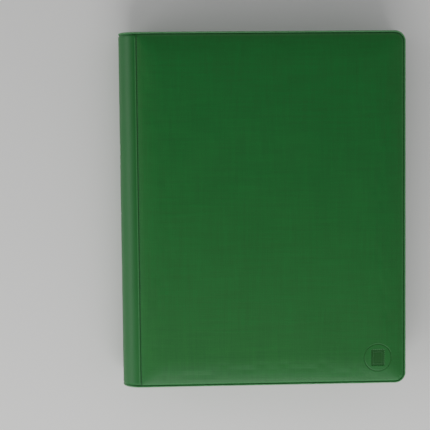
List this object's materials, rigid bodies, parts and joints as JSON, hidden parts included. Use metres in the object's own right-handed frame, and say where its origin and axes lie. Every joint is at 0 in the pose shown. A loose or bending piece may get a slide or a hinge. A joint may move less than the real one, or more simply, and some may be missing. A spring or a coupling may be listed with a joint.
{
  "type": "stamp album",
  "caption": "Large green padded leatherette stamp album with a rounded spine, a zip round its open edges, and bound pocket leaves between folding covers.",
  "frame": {"origin": "centre of the flat face of the back cover that the closed album rests on", "axes": "+Z through the album's thickness from back cover to front cover, +Y from tail edge to head edge, +X from spine to fore-edge"},
  "size_m": [0.359, 0.445, 0.061],
  "materials": {
    "panel_leatherette": "satin embossed polyurethane leatherette",
    "spine_leatherette": "smooth satin polyurethane leatherette",
    "edge_leatherette": "smooth turned polyurethane leatherette",
    "gusset_leatherette": "smooth satin polyurethane leatherette",
    "foam": "open-cell foam",
    "greyboard": "matte greyboard",
    "lining_cloth": "matte woven lining",
    "zip_tape": "woven polyester tape",
    "zip_coil": "moulded nylon coil",
    "zip_metal": "polished nickel plate",
    "leaf_film": "black sheet with clear pockets"
  },
  "bodies": {
    "back_cover": {"back_panel": "panel_leatherette", "back_foam": "foam", "back_board": "greyboard", "back_lining": "lining_cloth", "back_spine_flap": "spine_leatherette", "back_edge_binding": "edge_leatherette", "back_gusset": "gusset_leatherette", "back_zip_tape": "zip_tape", "back_zip_coil": "zip_coil", "back_zip_stops": "zip_metal"},
    "spine": {"spine_cover": "spine_leatherette", "spine_board": "greyboard", "spine_lining": "lining_cloth", "spine_end_bindings": "edge_leatherette", "zip_end_tabs": "gusset_leatherette", "binding_strip": "lining_cloth", "sewn_margins": "leaf_film"},
    "front_cover": {"front_panel": "panel_leatherette", "front_foam": "foam", "front_board": "greyboard", "front_lining": "lining_cloth", "front_spine_flap": "spine_leatherette", "front_edge_binding": "edge_leatherette", "front_gusset": "gusset_leatherette", "front_zip_tape": "zip_tape", "front_zip_coil": "zip_coil", "front_zip_stops": "zip_metal"},
    "leaf_01": {"leaf_01": "leaf_film"},
    "leaf_02": {"leaf_02": "leaf_film"},
    "leaf_03": {"leaf_03": "leaf_film"},
    "leaf_04": {"leaf_04": "leaf_film"},
    "leaf_05": {"leaf_05": "leaf_film"},
    "leaf_06": {"leaf_06": "leaf_film"},
    "leaf_07": {"leaf_07": "leaf_film"},
    "leaf_08": {"leaf_08": "leaf_film"},
    "leaf_09": {"leaf_09": "leaf_film"},
    "leaf_10": {"leaf_10": "leaf_film"},
    "leaf_11": {"leaf_11": "leaf_film"},
    "leaf_12": {"leaf_12": "leaf_film"},
    "leaf_13": {"leaf_13": "leaf_film"},
    "leaf_14": {"leaf_14": "leaf_film"},
    "leaf_15": {"leaf_15": "leaf_film"},
    "leaf_16": {"leaf_16": "leaf_film"},
    "leaf_17": {"leaf_17": "leaf_film"},
    "leaf_18": {"leaf_18": "leaf_film"},
    "leaf_19": {"leaf_19": "leaf_film"},
    "leaf_20": {"leaf_20": "leaf_film"},
    "zip_slider": {"zip_slider_body": "zip_metal", "zip_slider_bridge": "zip_metal"},
    "zip_pull": {"zip_pull_tab": "zip_metal"}
  },
  "joints": [
    {"name": "spine_fold", "type": "hinge", "parent": "back_cover", "child": "spine", "pos_m": [-0.17, 0, 0.0095], "axis": [0, -1, 0], "range_deg": [0, 90]},
    {"name": "cover_fold", "type": "hinge", "parent": "spine", "child": "front_cover", "pos_m": [-0.17, 0, 0.0515], "axis": [0, -1, 0], "range_deg": [0, 90]},
    {"name": "leaf_01_turn", "type": "hinge", "parent": "spine", "child": "leaf_01", "pos_m": [-0.149, 0, 0.0305], "axis": [0, -1, 0], "range_deg": [-90, 0]},
    {"name": "leaf_02_turn", "type": "hinge", "parent": "spine", "child": "leaf_02", "pos_m": [-0.149, 0, 0.0305], "axis": [0, -1, 0], "range_deg": [-90, 0]},
    {"name": "leaf_03_turn", "type": "hinge", "parent": "spine", "child": "leaf_03", "pos_m": [-0.149, 0, 0.0305], "axis": [0, -1, 0], "range_deg": [-90, 0]},
    {"name": "leaf_04_turn", "type": "hinge", "parent": "spine", "child": "leaf_04", "pos_m": [-0.149, 0, 0.0305], "axis": [0, -1, 0], "range_deg": [-90, 0]},
    {"name": "leaf_05_turn", "type": "hinge", "parent": "spine", "child": "leaf_05", "pos_m": [-0.149, 0, 0.0305], "axis": [0, -1, 0], "range_deg": [-90, 0]},
    {"name": "leaf_06_turn", "type": "hinge", "parent": "spine", "child": "leaf_06", "pos_m": [-0.149, 0, 0.0305], "axis": [0, -1, 0], "range_deg": [-90, 0]},
    {"name": "leaf_07_turn", "type": "hinge", "parent": "spine", "child": "leaf_07", "pos_m": [-0.149, 0, 0.0305], "axis": [0, -1, 0], "range_deg": [-90, 0]},
    {"name": "leaf_08_turn", "type": "hinge", "parent": "spine", "child": "leaf_08", "pos_m": [-0.149, 0, 0.0305], "axis": [0, -1, 0], "range_deg": [-90, 0]},
    {"name": "leaf_09_turn", "type": "hinge", "parent": "spine", "child": "leaf_09", "pos_m": [-0.149, 0, 0.0305], "axis": [0, -1, 0], "range_deg": [-90, 0]},
    {"name": "leaf_10_turn", "type": "hinge", "parent": "spine", "child": "leaf_10", "pos_m": [-0.149, 0, 0.0305], "axis": [0, -1, 0], "range_deg": [-90, 0]},
    {"name": "leaf_11_turn", "type": "hinge", "parent": "spine", "child": "leaf_11", "pos_m": [-0.149, 0, 0.0305], "axis": [0, -1, 0], "range_deg": [0, 90]},
    {"name": "leaf_12_turn", "type": "hinge", "parent": "spine", "child": "leaf_12", "pos_m": [-0.149, 0, 0.0305], "axis": [0, -1, 0], "range_deg": [0, 90]},
    {"name": "leaf_13_turn", "type": "hinge", "parent": "spine", "child": "leaf_13", "pos_m": [-0.149, 0, 0.0305], "axis": [0, -1, 0], "range_deg": [0, 90]},
    {"name": "leaf_14_turn", "type": "hinge", "parent": "spine", "child": "leaf_14", "pos_m": [-0.149, 0, 0.0305], "axis": [0, -1, 0], "range_deg": [0, 90]},
    {"name": "leaf_15_turn", "type": "hinge", "parent": "spine", "child": "leaf_15", "pos_m": [-0.149, 0, 0.0305], "axis": [0, -1, 0], "range_deg": [0, 90]},
    {"name": "leaf_16_turn", "type": "hinge", "parent": "spine", "child": "leaf_16", "pos_m": [-0.149, 0, 0.0305], "axis": [0, -1, 0], "range_deg": [0, 90]},
    {"name": "leaf_17_turn", "type": "hinge", "parent": "spine", "child": "leaf_17", "pos_m": [-0.149, 0, 0.0305], "axis": [0, -1, 0], "range_deg": [0, 90]},
    {"name": "leaf_18_turn", "type": "hinge", "parent": "spine", "child": "leaf_18", "pos_m": [-0.149, 0, 0.0305], "axis": [0, -1, 0], "range_deg": [0, 90]},
    {"name": "leaf_19_turn", "type": "hinge", "parent": "spine", "child": "leaf_19", "pos_m": [-0.149, 0, 0.0305], "axis": [0, -1, 0], "range_deg": [0, 90]},
    {"name": "leaf_20_turn", "type": "hinge", "parent": "spine", "child": "leaf_20", "pos_m": [-0.149, 0, 0.0305], "axis": [0, -1, 0], "range_deg": [0, 90]},
    {"name": "zip_slide", "type": "slide", "parent": "back_cover", "child": "zip_slider", "axis": [1, 0, 0], "range_m": [0, 0.305]},
    {"name": "pull_swing", "type": "hinge", "parent": "zip_slider", "child": "zip_pull", "pos_m": [-0.15, -0.21985, 0.0305], "axis": [0, 0, -1], "range_deg": [0, 150]}
  ],
  "couplings": [
    {"joint": "spine_fold", "follows": "cover_fold", "ratio": 1},
    {"joint": "leaf_01_turn", "follows": "cover_fold", "ratio": -1},
    {"joint": "leaf_02_turn", "follows": "cover_fold", "ratio": -1},
    {"joint": "leaf_03_turn", "follows": "cover_fold", "ratio": -1},
    {"joint": "leaf_04_turn", "follows": "cover_fold", "ratio": -1},
    {"joint": "leaf_05_turn", "follows": "cover_fold", "ratio": -1},
    {"joint": "leaf_06_turn", "follows": "cover_fold", "ratio": -1},
    {"joint": "leaf_07_turn", "follows": "cover_fold", "ratio": -1},
    {"joint": "leaf_08_turn", "follows": "cover_fold", "ratio": -1},
    {"joint": "leaf_09_turn", "follows": "cover_fold", "ratio": -1},
    {"joint": "leaf_10_turn", "follows": "cover_fold", "ratio": -1},
    {"joint": "leaf_11_turn", "follows": "cover_fold", "ratio": 1},
    {"joint": "leaf_12_turn", "follows": "cover_fold", "ratio": 1},
    {"joint": "leaf_13_turn", "follows": "cover_fold", "ratio": 1},
    {"joint": "leaf_14_turn", "follows": "cover_fold", "ratio": 1},
    {"joint": "leaf_15_turn", "follows": "cover_fold", "ratio": 1},
    {"joint": "leaf_16_turn", "follows": "cover_fold", "ratio": 1},
    {"joint": "leaf_17_turn", "follows": "cover_fold", "ratio": 1},
    {"joint": "leaf_18_turn", "follows": "cover_fold", "ratio": 1},
    {"joint": "leaf_19_turn", "follows": "cover_fold", "ratio": 1},
    {"joint": "leaf_20_turn", "follows": "cover_fold", "ratio": 1}
  ]
}
